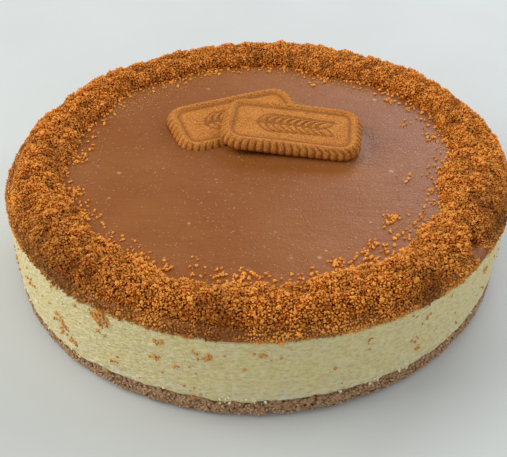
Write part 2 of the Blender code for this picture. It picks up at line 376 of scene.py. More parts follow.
def cheese_finish():
    """Chilled cream cheese, set in a tin: soft satin, faintly see-through, dragged into level smears."""
    material, tree, shader, place = new_finish("set_cream_cheese", 0.5, Subsurface_Weight=0.12,
                                               Subsurface_Radius=(0.004, 0.003, 0.0015), Subsurface_Scale=1.0)
    smears = lumps(tree, place, 1.8 * MM, 5.0, (0.7, 0.7, 1.4))
    mottle = lumps(tree, place, 10 * MM, 4.0)
    fine = lumps(tree, place, 1.3 * MM, 4.0, (0.75, 0.75, 1.3))
    chips = lumps(tree, place, 2.4 * MM, 4.0, (0.6, 0.6, 1.5))
    rubbed = lumps(tree, place, 3 * MM, 4.0)
    height = out(add_node(tree, "ShaderNodeSeparateXYZ", {"Vector": place}), "Z")
    body = coated(tree, rgba(colours().cheese_smear), rgba(colours().cheese), smears, 0.30, 0.55)
    body = coated(tree, body, tint(CHEESE_MOTTLE), mottle, 0.42, 0.75, 0.45)
    # Whitish chips low down and crumb rubbed in at the top: each pattern grows from one height to another.
    for pattern, low, high, most, none_at, full_at, shade in (
        (chips, 0.52, 0.58, 1.0, 16 * MM, 9 * MM, rgba(colours().cheese_bit)),
        (rubbed, 0.58, 0.68, 0.55, 30 * MM, 37 * MM, tint(RUBBED_CRUMB)),
    ):
        spots = add_node(tree, "ShaderNodeMapRange", {"Value": pattern, "From Min": low, "From Max": high,
                                                      "To Max": most})
        band = add_node(tree, "ShaderNodeMapRange", {"Value": height, "From Min": none_at,
                                                     "From Max": full_at})
        where = add_node(tree, "ShaderNodeMath", {"Value": out(spots, "Result"),
                                                  "Value_001": out(band, "Result")}, operation="MULTIPLY")
        body = coated(tree, body, shade, out(where, "Value"))
    # Painted highlight on the high points of the fine relief, and painted shade in its low points.
    body = coated(tree, body, tint(CHEESE_GRAIN_HIGHLIGHT), fine, 0.53, 0.66, 0.55)
    body = coated(tree, body, tint(CHEESE_GRAIN_SHADE), fine, 0.46, 0.34, 0.4)
    surfaced(tree, shader, body, fine, 1.5 * MM, 1.0)
    return material


def spread_finish():
    """Biscuit spread, poured warm and set cold: satin fat with a broad soft sheen and pale burst bubbles."""
    material, tree, shader, place = new_finish("set_biscuit_spread", 0.4, Specular_IOR_Level=0.22)
    bloom = lumps(tree, place, 45 * MM)
    drift = lumps(tree, place, 7 * MM, 4.0, (0.4, 1.3, 1.0))
    grain = lumps(tree, place, 0.9 * MM)
    creased = lumps(tree, place, 3.5 * MM, 5.0, (0.5, 1.2, 1.0))
    body = coated(tree, rgba(colours().spread), rgba(colours().spread_bloom_and_sheen), bloom, 0.35, 0.7)
    body = coated(tree, body, tint(SPREAD_DRIFT), drift, 0.3, 0.75, 0.35)
    # Painted speckled sheen on the high points of the fine grain.
    body = coated(tree, body, rgba(colours().spread_bloom_and_sheen), grain, 0.55, 0.8, 0.45)
    # Bubbles in four sizes: the gap between them, their reach as a share of it, and how strongly they show.
    bubbles = ((13 * MM, 0.10, 0.75), (8 * MM, 0.09, 0.7), (4.3 * MM, 0.12, 0.55), (1.7 * MM, 0.24, 0.4))
    for gap, reach, strength in bubbles:
        cells = add_node(tree, "ShaderNodeTexVoronoi", {"Vector": place, "Scale": 1 / gap})
        dot = add_node(tree, "ShaderNodeMapRange", {"Value": out(cells, "Distance"), "From Min": reach,
                                                    "From Max": reach * 0.45})
        chance = add_node(tree, "ShaderNodeSeparateColor", {"Color": out(cells, "Color")})
        some = add_node(tree, "ShaderNodeMapRange", {"Value": out(chance, "Red"), "From Min": 0.32,
                                                     "From Max": 0.45, "To Max": strength})
        where = add_node(tree, "ShaderNodeMath", {"Value": out(dot, "Result"),
                                                  "Value_001": out(some, "Result")}, operation="MULTIPLY")
        body = coated(tree, body, rgba(colours().bubble), out(where, "Value"))
    rough = add_node(tree, "ShaderNodeMapRange", {"Value": grain, "From Min": 0.3, "From Max": 0.7,
                                                  "To Min": 0.34, "To Max": 0.5})
    tree.links.new(out(rough, "Result"), shader.inputs["Roughness"])
    # Fine creases run where a broad pattern passes its middle value, with painted shade in them.
    broad = add_node(tree, "ShaderNodeMath", {"Value": lumps(tree, place, 24 * MM, 4.0), "Value_001": 0.5},
                     operation="SUBTRACT")
    away = add_node(tree, "ShaderNodeMath", {"Value": out(broad, "Value")}, operation="ABSOLUTE")
    creases = out(add_node(tree, "ShaderNodeMapRange", {"Value": out(away, "Value"), "From Min": 0.012,
                                                        "From Max": 0.0, "To Max": 0.3}), "Result")
    body = coated(tree, body, tint(SPREAD_CREASE_SHADE), creases)
    relief = add_node(tree, "ShaderNodeMath", {"Value": creased, "Value_001": 1.8, "Value_002": grain},
                      operation="MULTIPLY_ADD")
    relief = add_node(tree, "ShaderNodeMath", {"Value": out(relief, "Value"), "Value_001": creases},
                      operation="SUBTRACT")
    surfaced(tree, shader, body, out(relief, "Value"), 0.2 * MM, 0.8)
    return material


def biscuit_finish():
    """Caramelised biscuit, moulded and baked crisp: matt and sandy, with painted shade in the pressed
    grooves.
    """
    material, tree, shader, place = new_finish("baked_biscuit", 0.8, Specular_IOR_Level=0.15)
    groove_shade_and_browning = out(add_node(tree, "ShaderNodeAttribute", attribute_name="groove_shade_and_browning"), "Fac")
    sand = lumps(tree, place, 0.55 * MM, 3.0)
    patch = lumps(tree, place, 7 * MM, 3.0)
    body = coated(tree, tint(BISCUIT_SHADE), rgba(colours().biscuit), patch, 0.3, 0.7)
    # Painted highlight on the sand's high points and painted shade in its dips.
    body = coated(tree, body, tint(BISCUIT_SAND_HIGHLIGHT), sand, 0.44, 0.64, 0.75)
    body = coated(tree, body, rgba(colours().biscuit_sand_shade), sand, 0.44, 0.32, 0.75)
    # Painted shade in the grooves and flute valleys, and browning on the side.
    body = coated(tree, body, tint(BISCUIT_GROOVE_SHADE_AND_BROWNING), groove_shade_and_browning)
    surfaced(tree, shader, body, sand, 0.3 * MM, 0.8)
    return material


def floor_finish():
    """Painted board: matt, with a few faint cloudy marks."""
    material, tree, shader, place = new_finish("painted_board", 0.7, Specular_IOR_Level=0.3)
    body = coated(tree, rgba(colours().floor), tint(FLOOR_CLOUD), lumps(tree, place, 90 * MM, 3.0), 0.3, 0.7)
    tree.links.new(body, shader.inputs["Base Color"])
    return material


# Meshes

def outline_factor(angle):
    """The cake's outline in plan, as a share of its radius: a round tin a little out of true."""
    return 1.0 + OVAL_SHARE * math.sin(2 * angle) - 0.004 * math.cos(3 * angle)


def edge_radius(angle, radius=CAKE_RADIUS):
    """The cake's radius in one direction, or that of a smaller ring of the same outline."""
    return radius * outline_factor(angle)


def around(angle, radius, height):
    return Vector((radius * math.cos(angle), radius * math.sin(angle), height))


def add_piece(name, verts, faces, material):
    mesh = bpy.data.meshes.new(name)
    mesh.from_pydata(verts, [], faces)
    mesh.shade_smooth()
    mesh.materials.append(material)
    piece = bpy.data.objects.new(name, mesh)
    bpy.context.scene.collection.objects.link(piece)
    return piece


def skin(rings, closed=True):
    """Points and faces of a skin through rings of points, from the underside outwards and up to the top.

    A closed skin has its first and last rings filled, each round a point in its middle.
    """
    count = len(rings[0])
    verts = [p for ring in rings for p in ring]
    faces = []
    for level in range(len(rings) - 1):
        first, second = level * count, (level + 1) * count
        for i in range(count):
            j = (i + 1) % count
            faces.append((first + i, first + j, second + j, second + i))
    if closed:
        for ring, up in ((0, False), (len(rings) - 1, True)):
            verts.append(sum((Vector(p) for p in rings[ring]), Vector()) / count)
            here, centre = ring * count, len(verts) - 1
            for i in range(count):
                j = (i + 1) % count
                faces.append((here + i, here + j, centre) if up else (here + j, here + i, centre))
    return verts, faces


def finish_piece(piece, slot, *nodes):
    """Attaches a finished piece to the cake's root body and hides the nodes that it stands for. The slot is
    not used.
    """
    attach(piece, "root")
    if nodes:
        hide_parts(*nodes)
    return piece


def steps(low, high, count):
    return [low + (high - low) * i / (count - 1) for i in range(count)]


def angles(count):
    return [math.tau * i / count for i in range(count)]


def crags(point, size, seed=0.0):
    """Noise from -1 to 1 with lumps of the given size."""
    return noise.noise(point / size + Vector((seed, seed * 0.7, seed * 1.3)))


def wavy(angle, waves, level=0.0):
    """Noise from -1 to 1 round the cake, with shorter waves for a larger number."""
    return noise.noise(Vector((math.cos(angle), math.sin(angle), level)) * waves)


def bell(angle, centre, width, power=2):
    """1 in one direction round the cake, falling off on both sides. Centre and width are in degrees."""
    away = (math.degrees(angle) - centre + 180) % 360 - 180
    return math.exp(-((away / width) ** power))


def clamped(value):
    return max(0.0, min(1.0, value))


def seam_wave(angle):
    """How far the line between base and cheese wanders up or down."""
    wander = 0.5 * math.sin(9 * angle + 0.5) + 1.2 * wavy(angle, 13)
    return MM * (wander - 1.8 * bell(angle, SEAM_DIP, 20))


def edge_gap(angle):
    """How bare the edge is of crumbs, from 0 to 1, how far the spread runs down, and what is left above."""
    most, run, left = 0.0, 0.0, 1.0
    for centre, width, drop, above in BARE_EDGES:
        near = bell(angle, centre, width, 4)
        if near > most:
            most, run, left = near, near * drop * MM, above
    return most, run, left


def make_base_side(material):
    """The pressed base: a rough side in the round, drawn in under its lower edge."""
    crag = sizes().crag_depth
    # Each ring's offset from the outline and its height. The underside's two rings stay smooth.
    inner = -6 * MM
    rows = [(inner, 0.0), (-3.4 * MM, 0.0), (-2.9 * MM, 0.6 * MM), (-1.5 * MM, 1.2 * MM)]
    for t in steps(0, 1, 11):
        rows.append((-0.45 * MM + 0.25 * MM * math.sin(math.pi * t), 1.6 * MM + t * (BASE_TOP - 2.2 * MM)))
    rows += [(-1.2 * MM, BASE_TOP + 0.1 * MM), (inner, BASE_TOP + 0.1 * MM)]
    rings = []
    for offset, height in rows:
        ring = []
        for angle in angles(900):
            spot = around(angle, CAKE_RADIUS, height)
            rough = 1.3 * crags(spot, 5 * MM, 3.1) + 0.9 * crags(spot, 1.7 * MM, 5.0)
            rough = crag * (rough + 0.5 * crags(spot, 0.8 * MM)) if height > 0 or offset > -3 * MM else 0.0
            lift = seam_wave(angle) * max(0.0, (height - 3 * MM) / BASE_TOP)
            ring.append(around(angle, edge_radius(angle) + offset + rough, max(0.0, height + lift)))
        rings.append(ring)
    return add_piece("pressed_base", *skin(rings), material)


def make_cheese_body(material):
    """The set filling, with the level smears, pits and soft top edge that its tin left."""
    depth = sizes().smear_depth
    low, high = BASE_TOP - 0.2 * MM, FILLING_TOP
    # Each ring's offset from the outline and its height.
    inner = -6 * MM
    rows = [(inner, low), (-0.9 * MM, low), (-0.35 * MM, low + 0.5 * MM)]
    for t in steps(0, 1, 40):
        rows.append((0.15 * MM * math.sin(math.pi * t), low + 1.2 * MM + t * (high - low - 2.0 * MM)))
    rows += [(-0.25 * MM, high - 0.35 * MM), (-0.8 * MM, high), (inner, high)]
    rings = []
    for offset, height in rows:
        ring = []
        share = (height - low) / (high - low)
        for angle in angles(840):
            spot = around(angle, CAKE_RADIUS, height)
            flat = Vector((spot.x, spot.y, spot.z * 3.5))
            smear = 1.2 * crags(flat, 9 * MM, 7.7) + 0.8 * crags(flat, 3 * MM, 2.0)
            smear += 1.1 * crags(spot, 1.7 * MM)
            pit = max(0.0, crags(spot, 3.5 * MM, 11.0) - 0.52)
            broken = crags(spot, 2.2 * MM, 21.0) * max(0.0, 1 - share * 4.5)
            rough = depth * smear - 1.8 * MM * pit + 0.45 * MM * broken
            lift = seam_wave(angle) * (1 - share) * (1 if share < 0.9 else 0)
            if offset == inner:
                rough, lift = 0.0, 0.0
            ring.append(around(angle, edge_radius(angle) + offset + rough, height + lift))
        rings.append(ring)
    return add_piece("cheese_body", *skin(rings), material)


def inset_in_biscuit(x, y):
    """How far a point is inside a biscuit's outline."""
    across = abs(x) - (BISCUIT_LENGTH / 2 - BISCUIT_CORNER)
    along = abs(y) - (BISCUIT_WIDTH / 2 - BISCUIT_CORNER)
    outside = math.hypot(max(across, 0.0), max(along, 0.0))
    return BISCUIT_CORNER - outside - min(max(across, along), 0.0)


def spread_height(spot, back_inverse, front_inverse):
    """The poured spread's surface: low ripples, faint arcs of the spatula, and swellings at the biscuits."""
    ripple = crags(spot, 34 * MM, 4.0) + 0.45 * crags(spot, 13 * MM, 8.0)
    height = SPREAD_TOP + sizes().ripple_height * ripple
    sweep = math.hypot(spot.x + 30 * MM, spot.y - 60 * MM)
    swept = max(0.0, crags(spot, 26 * MM, 2.0) + 0.2)
    height += 0.06 * MM * math.sin(sweep / (2.2 * MM) + 4 * crags(spot, 18 * MM)) * swept
    # The back biscuit has sunk in: the spread swells at its edge and makes room under it.
    local = back_inverse @ spot
    inside = inset_in_biscuit(local.x, local.y)
    height += 0.55 * MM * math.exp(-(min(inside, 0.0) / (2.6 * MM)) ** 2)
    height -= 3.2 * MM * clamped((inside - 0.6 * MM) / (1.6 * MM))
    # At the front one it swells only where the gap under the biscuit is small, at its near side.
    local = front_inverse @ spot
    inside = inset_in_biscuit(local.x, local.y)
    gap = -local.z
    near = clamped((3.0 * MM - gap) / (1.5 * MM))
    height += near * (0.9 * MM + 0.3 * gap) * math.exp(-(min(inside, 0.0) / (2.2 * MM)) ** 2)
    return height


def make_spread_body(material):
    """The layer of spread out to the edge, running down over the cheese in a few places."""
    columns = 480
    back_inverse, front_inverse = back_matrix().inverted(), front_matrix().inverted()
    rings = []
    radius = CAKE_RADIUS - 1.1 * MM
    # Each ring's offset from the outline and its height over the cheese.
    inner = -6 * MM
    for offset, low in ((inner, 0.0), (-0.4 * MM, 0.0), (0.25 * MM, 0.4 * MM), (0.35 * MM, 1.2 * MM),
                        (0.1 * MM, 2.4 * MM), (-0.5 * MM, 3.0 * MM)):
        ring = []
        for angle in angles(columns):
            bare, run, _ = edge_gap(angle)
            down, bulge = 0.0, 0.0
            if offset > inner:
                down = (run + 0.35 * MM * wavy(angle, 11)) * (1 - low / (3.0 * MM))
                bulge = 0.7 * MM * bare * math.sin(math.pi * min(1.0, (low + 0.5 * MM) / (3.5 * MM)))
            height = FILLING_TOP + 0.1 * MM + low - down
            ring.append(around(angle, edge_radius(angle, radius) + offset + bulge, height))
        rings.append(ring)
    for share in steps(0.985, 0.012, 84):
        ring = []
        for angle in angles(columns):
            spot = around(angle, edge_radius(angle, radius) * share, SPREAD_TOP)
            height = spread_height(spot, back_inverse, front_inverse) if share < 0.97 else SPREAD_TOP
            ring.append(Vector((spot.x, spot.y, height)))
        rings.append(ring)
    return add_piece("spread_body", *skin(rings), material)


def rim_start(angle):
    """Where the crumbs end on the spread, as a share of the outline."""
    share = RIM_SHARE + 0.012 * math.sin(3 * angle + 0.6) + 0.010 * math.sin(7 * angle + 2.0)
    share += 0.009 * math.sin(13 * angle + 1.0)
    for centre, width, reach in RIM_HEAPS:
        share -= reach * bell(angle, centre, width)
    return share + 0.010 * wavy(angle, 14, 0.3)


def bank_height(across):
    """The heap's height as a share of its peak, from its inner edge at 0 to its outer edge at 1."""
    for (a, low), (b, high) in zip(RIM_BANK, RIM_BANK[1:]):
        if across <= b:
            return low + (high - low) * (across - a) / (b - a)
    return 0.0


def clump(spot):
    """How high the crumbs stand where they cling in clumps, and how far down in the creases, for painted
    shade.
    """
    bent = spot + 1.3 * MM * Vector([crags(spot, 4 * MM, seed) for seed in (51.0, 52.0, 53.0)])
    height, crease_shade_and_browning = 0.0, 0.0
    for size, share in ((5.2 * MM, 0.6), (2.6 * MM, 0.4)):
        near = noise.voronoi(bent / size)[0][0]
        height += share * (0.5 - near)
        crease_shade_and_browning += share * clamped((near - 0.42) / 0.38)
    return height, crease_shade_and_browning


def heap_shade(angle, across):
    """How dark the heap is painted, from 0 to 1: painted shade down in its creases, and browning where it is
    browned.
    """
    shade = 0.68 * clump(around(angle, CAKE_RADIUS, across * HEAP_SPAN * MM))[1]
    for centre, width in BROWNED_HEAPS:
        shade += 0.5 * bell(angle, centre, width) * max(0.0, across - 0.25) / 0.75
    return min(0.72, shade)


def bank_point(angle, across, sink=0.0):
    """A point on the heap's surface, or sunk below it."""
    start = rim_start(angle)
    edge = 0.974 + 0.006 * math.sin(5 * angle + 1.2) + 0.005 * math.sin(11 * angle)
    bare, _, left = edge_gap(angle)
    edge -= 0.024 * bare * (1 - left) ** 2
    spot = around(angle, edge_radius(angle) * (start + (edge - start) * across), 0.0)
    lift = 1.0 + 0.16 * crags(around(angle, CAKE_RADIUS, across * 12 * MM), 26 * MM, 1.3)
    bumps = 4.6 * MM * clump(around(angle, CAKE_RADIUS, across * HEAP_SPAN * MM))[0]
    bumps += 1.0 * MM * crags(spot, 8 * MM) + 0.6 * MM * crags(spot, 1.7 * MM, 6.0)
    up = bank_height(across)
    height = CRUMB_PEAK * CORE_SHARE * up * lift + bumps * min(1.0, 2 * up) - sink
    return Vector((spot.x, spot.y, SPREAD_TOP + height))


def make_bank_core(material):
    """The heap's own body under its loose crumbs, rough right through."""
    columns = 760
    foot = Vector((0, 0, SPREAD_TOP - 0.6 * MM))
    rings = [[bank_point(angle, 0.45).xy.to_3d() + foot for angle in angles(columns)]]
    for t in steps(0, 1, 46):
        rings.append([bank_point(angle, 1.0 - t, 0.5 * MM) for angle in angles(columns)])
    verts, faces = skin(rings, closed=False)
    last = (len(rings) - 1) * columns
    for i in range(columns):
        j = (i + 1) % columns
        faces.append((last + i, last + j, j, i))
    return add_piece("crumb_bank", verts, faces, material)


# Crumbs

def seed_crumbs(name, count, rounds, rough, draw):
    """Irregular crumbs about 1 m wide, to be copied and shrunk. With no rounds each has only eight faces."""
    group = bpy.data.collections.new(name)
    bpy.context.scene.collection.children.link(group)
    for i in range(count):
        work = bmesh.new()
        if rounds:
            bmesh.ops.create_icosphere(work, subdivisions=rounds, radius=0.5)
        else:
            bmesh.ops.create_uvsphere(work, u_segments=4, v_segments=2, radius=0.55)
        shift = Vector((draw.uniform(-9, 9), draw.uniform(-9, 9), draw.uniform(-9, 9)))
        for vertex in work.verts:
            swell = 1.0 + rough * noise.noise(vertex.co * 2.6 + shift) + draw.uniform(-0.16, 0.16)
            vertex.co *= swell
        mesh = bpy.data.meshes.new(f"{name}_{i}")
        work.to_mesh(mesh)
        work.free()
        group.objects.link(bpy.data.objects.new(f"{name}_{i}", mesh))
    return group


def remove_group(group):
    for obj in list(group.objects):
        bpy.data.objects.remove(obj, do_unlink=True)
    bpy.data.collections.remove(group)


def crumb_tree(name, on_faces):
    """A node tree that sets crumbs on a surface, spread evenly, or on the points that it is given."""
    tree = bpy.data.node_groups.new(name, "GeometryNodeTree")
    tree.interface.new_socket(name="Geometry", in_out="OUTPUT", socket_type="NodeSocketGeometry")
    for label, kind in (("Geometry", "Geometry"), ("Crumbs", "Collection"), ("Finish", "Material"),
                        ("Spacing", "Float"), ("Smallest", "Float"), ("Largest", "Float"), ("Lift", "Float"),
                        ("Seed", "Int")):
        tree.interface.new_socket(name=label, in_out="INPUT", socket_type=f"NodeSocket{kind}")
    given = add_node(tree, "NodeGroupInput")
    seed = out(given, "Seed")
    points, normal = out(given, "Geometry"), None
    if on_faces:
        cover = add_node(tree, "GeometryNodeInputNamedAttribute", {"Name": "cover"}, data_type="FLOAT")
        spots = add_node(tree, "GeometryNodeDistributePointsOnFaces", {
            "Mesh": points, "Distance Min": out(given, "Spacing"), "Density Max": 4.0e6,
            "Density Factor": out(cover, "Attribute"), "Seed": seed}, distribute_method="POISSON")
        points, normal = out(spots, "Points"), out(spots, "Normal")
    width = add_node(tree, "FunctionNodeRandomValue", {
        "Min": out(given, "Smallest"), "Max": out(given, "Largest"), "Seed": seed}, data_type="FLOAT")
    size = out(width, "Value")
    stretch = add_node(tree, "FunctionNodeRandomValue", {"Min": (0.72, 0.72, 0.6), "Max": (1.25, 1.25, 1.1),
                                                         "Seed": seed}, data_type="FLOAT_VECTOR")
    scale = add_node(tree, "ShaderNodeVectorMath", {"Vector": out(stretch, "Value"), "Scale": size},
                     operation="SCALE")
    turn = add_node(tree, "FunctionNodeRandomValue", {"Min": (0, 0, 0), "Max": (math.tau,) * 3, "Seed": seed},
                    data_type="FLOAT_VECTOR")
    turned = add_node(tree, "FunctionNodeEulerToRotation", {"Euler": out(turn, "Value")})
    if normal is not None:
        lift = out(add_node(tree, "ShaderNodeMath", {"Value": size, "Value_001": out(given, "Lift")},
                            operation="MULTIPLY"), "Value")
        away = add_node(tree, "ShaderNodeVectorMath", {"Vector": normal, "Scale": lift}, operation="SCALE")
        raised = add_node(tree, "GeometryNodeSetPosition", {"Geometry": points,
                                                            "Offset": out(away, "Vector")})
        points = out(raised, "Geometry")
    tone = add_node(tree, "FunctionNodeRandomValue", {"Min": 0.0, "Max": 1.0, "Seed": seed},
                    data_type="FLOAT")
    toned = add_node(tree, "GeometryNodeStoreNamedAttribute", {
        "Geometry": points, "Name": "tone", "Value": out(tone, "Value")}, data_type="FLOAT", domain="POINT")
    kinds = add_node(tree, "GeometryNodeCollectionInfo", {"Collection": out(given, "Crumbs"),
                                                          "Separate Children": True, "Reset Children": True})
    laid = add_node(tree, "GeometryNodeInstanceOnPoints", {
        "Points": out(toned, "Geometry"), "Instance": out(kinds, "Instances"), "Pick Instance": True,
        "Rotation": out(turned, "Rotation"), "Scale": out(scale, "Vector")})
    real = add_node(tree, "GeometryNodeRealizeInstances", {"Geometry": out(laid, "Instances")})
    dressed = add_node(tree, "GeometryNodeSetMaterial", {"Geometry": out(real, "Geometry"),
                                                         "Material": out(given, "Finish")})
    add_node(tree, "NodeGroupOutput", {"Geometry": out(dressed, "Geometry")})
    return tree


def lay_crumbs(name, emitter, tree, **values):
    """Runs the crumb tree on a copy of the emitter and keeps the result as one plain mesh."""
    carrier = bpy.data.objects.new(name + "_carrier", emitter)
    bpy.context.scene.collection.objects.link(carrier)
    modifier = carrier.modifiers.new("Crumbs", "NODES")
    modifier.node_group = tree
    for item in tree.interface.items_tree:
        if item.in_out == "INPUT" and item.name in values:
            modifier[item.identifier] = values[item.name]
    graph = bpy.context.evaluated_depsgraph_get()
    mesh = bpy.data.meshes.new_from_object(carrier.evaluated_get(graph))
    carrier.modifiers.remove(modifier)
    bpy.data.objects.remove(carrier, do_unlink=True)
    mesh.name = name
    mesh.materials.clear()
    mesh.materials.append(values["Finish"])
    piece = bpy.data.objects.new(name, mesh)
    bpy.context.scene.collection.objects.link(piece)
    return piece


def grid_mesh(name, rows, place):
    """A surface round the cake to scatter on. place(angle, share) gives a point, its cover, and its painted
    shade and browning.
    """
    columns = EMITTER_COLUMNS
    verts, faces, covers, creases = [], [], [], []
    for share in steps(0, 1, rows):
        for angle in angles(columns):
            spot, cover, crease_shade_and_browning = place(angle, share)
            verts.append(spot)
            covers.append(clamped(cover))
            creases.append(crease_shade_and_browning)
    for row in range(rows - 1):
        for i in range(columns):
            j = (i + 1) % columns
            here, above = row * columns, (row + 1) * columns
            faces.append((above + i, above + j, here + j, here + i))
    mesh = bpy.data.meshes.new(name)
    mesh.from_pydata(verts, [], faces)
    mesh.attributes.new("cover", "FLOAT", "POINT").data.foreach_set("value", covers)
    # The crumbs' painted shade in creases and their browning go to the emitter as one attribute.
    mesh.attributes.new("crease_shade_and_browning", "FLOAT", "POINT").data.foreach_set("value", creases)
    return mesh


def rim_emitter():
    """The heap's surface, then down over the cake's edge as far as its crumbs hang."""
    over = 0.84

    def place(angle, share):
        bare, _, left = edge_gap(angle)
        if share < over:
            across = share / over
            cover = min(1.0, across / 0.05)
            if across <= 0.03:
                cover *= 0.5 + 0.5 * crags(around(angle, CAKE_RADIUS, 0), 5 * MM, 31.0)
            if across > 0.93:
                cover *= 1 - 0.9 * bare * (1 - left) ** 2
            return bank_point(angle, across), cover, heap_shade(angle, across)
        down = (share - over) / (1 - over)
        reach = 3.7 * MM + 0.8 * MM * crags(around(angle, CAKE_RADIUS, 0), 7 * MM, 17.0)
        radius = edge_radius(angle) - 0.25 * MM
        radius += 1.2 * MM * clump(around(angle, CAKE_RADIUS, (HEAP_SPAN + 5 * down) * MM))[0]
        outer = around(angle, radius, SPREAD_TOP - 0.3 * MM)
        spot = bank_point(angle, 1.0).lerp(outer, min(1.0, down * 4))
        spot.z = SPREAD_TOP + 0.1 * MM - reach * down
        cover = 1 - (0.97 - 0.25 * left) * bare if down > left else 1.0
        return spot, cover, heap_shade(angle, 1 + down * 0.25)

    return grid_mesh("rim_emitter", 56, place)


def cheese_emitter():
    """The cheese's side, where lone crumbs stick here and there."""
    def place(angle, share):
        height = BASE_TOP + 1 * MM + share * (FILLING_TOP - BASE_TOP - 1.5 * MM)
        spot = around(angle, edge_radius(angle) + 0.1 * MM, height)
        return spot, 0.05 * max(0.0, crags(spot, 9 * MM, 41.0) - 0.1) + 0.004, 0.0

    return grid_mesh("cheese_emitter", 40, place)


def curd_emitter():
    """The foot of the cheese, where its broken edge leaves whitish bits over the base."""
    def place(angle, share):
        spot = around(angle, edge_radius(angle) - 0.1 * MM, BASE_TOP + (4.2 * share + 0.1) * MM)
        spot.z += seam_wave(angle) * (1 - share)
        ragged = crags(spot, 6 * MM, 61.0) + 0.5 * crags(spot, 2 * MM, 62.0)
        for centre, width in BROKEN_FOOT:
            ragged += 0.5 * bell(angle, centre, width)
        return spot, max(0.0, ragged - 0.05) * (1 - share) ** 1.3, 0.0

    return grid_mesh("curd_emitter", 12, place)


def stuck_points(draw, groups):
    """Random points round each group's middle, on the cheese's side."""
    points = []
    for direction, height, count, reach in groups:
        for _ in range(count):
            angle = math.radians(direction) + draw.gauss(0, reach * MM) / CAKE_RADIUS
            level = min(FILLING_TOP, height * MM + draw.gauss(0, reach * MM))
            points.append(around(angle, edge_radius(angle) + 0.2 * MM, level))
    return points


def base_emitter():
    """The base's side, a little inside its surface, where pressed grains stand out."""
    def place(angle, share):
        height = 1.4 * MM + share * (BASE_TOP - 1.9 * MM)
        wave = seam_wave(angle) * max(0.0, (height - 3 * MM) / BASE_TOP)
        inset = 1.6 * MM * max(0.0, 1 - height / (2.2 * MM)) + 0.35 * MM
        spot = around(angle, edge_radius(angle) - inset, height + wave)
        return spot + around(angle, 0.9 * sizes().crag_depth * crags(spot, 5 * MM, 3.1), 0), 0.75, 0.0

    return grid_mesh("base_emitter", 14, place)


def points_mesh(name, points):
    mesh = bpy.data.meshes.new(name)
    mesh.from_pydata(points, [], [])
    return mesh


def fallen_points(draw, groups, reach, rest):
    """Random points round each group's middle, resting on the spread."""
    points = []
    for direction, share, count in groups:
        angle = math.radians(direction)
        middle = around(angle, edge_radius(angle) * share, 0.0)
        for _ in range(count):
            spot = middle + Vector((draw.gauss(0, reach), draw.gauss(0, reach), 0))
            spot.z = SPREAD_TOP + rest
            points.append(spot)
    return points


def edge_points(draw, count, deepest, rest):
    """Crumbs that rolled off the heap's inner edge, ever fewer further in."""
    points = []
    for _ in range(count):
        angle = draw.uniform(0, math.tau)
        share = rim_start(angle) + 0.004 - deepest * draw.random() ** 2.2
        spot = around(angle, edge_radius(angle) * share, 0.0)
        spot.z = SPREAD_TOP + rest
        points.append(spot)
    return points


# Biscuits

def leaning(centre, turn, height):
    """Place of a biscuit on the slope that both share."""
    up = Vector((-LEAN_SLOPE * UPHILL.x, -LEAN_SLOPE * UPHILL.y, 1)).normalized()
    ahead = Vector((math.cos(turn), math.sin(turn), 0))
    along = (ahead - up * ahead.dot(up)).normalized()
    turned_to = Matrix((along, up.cross(along), up)).transposed().to_4x4()
    return Matrix.Translation(Vector((*centre, height))) @ turned_to


def back_matrix():
    return leaning(BACK_CENTRE, BACK_TURN, BACK_TOP - BISCUIT_THICKNESS)


def front_matrix():
    """The front biscuit lies on the back one's face and slopes down to the spread."""
    run = UPHILL.dot(FRONT_CENTRE - BACK_CENTRE)
    return leaning(FRONT_CENTRE, FRONT_TURN, BACK_TOP + 0.35 * MM + LEAN_SLOPE * run)


def biscuit_outline(points, inset, flute):
    """Points round a biscuit, drawn in by inset, each with how far out in its flute it is, from 0 to 1."""
    along = BISCUIT_LENGTH / 2 - BISCUIT_CORNER
    across = BISCUIT_WIDTH / 2 - BISCUIT_CORNER
    corner = BISCUIT_CORNER - inset
    arc = math.pi / 2 * BISCUIT_CORNER

    def turned(s):
        bend = s / BISCUIT_CORNER
        return Vector((math.cos(bend), math.sin(bend)))

    # Stretches of the outline, each with its length and the point and outward direction at a way along it.
    stretches = (
        (across, lambda s: (Vector((along + corner, s)), Vector((1, 0)))),
        (arc, lambda s: (Vector((along, across)) + corner * turned(s), turned(s))),
        (2 * along, lambda s: (Vector((along - s, across + corner)), Vector((0, 1)))),
        (arc, lambda s: (Vector((-along, across)) + corner * turned(s + arc), turned(s + arc))),
        (2 * across, lambda s: (Vector((-along - corner, across - s)), Vector((-1, 0)))),
        (arc, lambda s: (Vector((-along, -across)) + corner * turned(s + 2 * arc), turned(s + 2 * arc))),
        (2 * along, lambda s: (Vector((-along + s, -across - corner)), Vector((0, -1)))),
        (arc, lambda s: (Vector((along, -across)) + corner * turned(s + 3 * arc), turned(s + 3 * arc))),
        (across, lambda s: (Vector((along + corner, -across + s)), Vector((1, 0)))),
    )
    total = sum(length for length, _ in stretches)
    ring = []
    for i in range(points):
        here = total * i / points
        for length, shape in stretches:
            if here <= length:
                break
            here -= length
        spot, outward = shape(here)
        fold = abs(math.sin(math.pi * FLUTES * i / points))
        ring.append((spot + outward * flute * (2 * fold - 1), fold))
    return ring


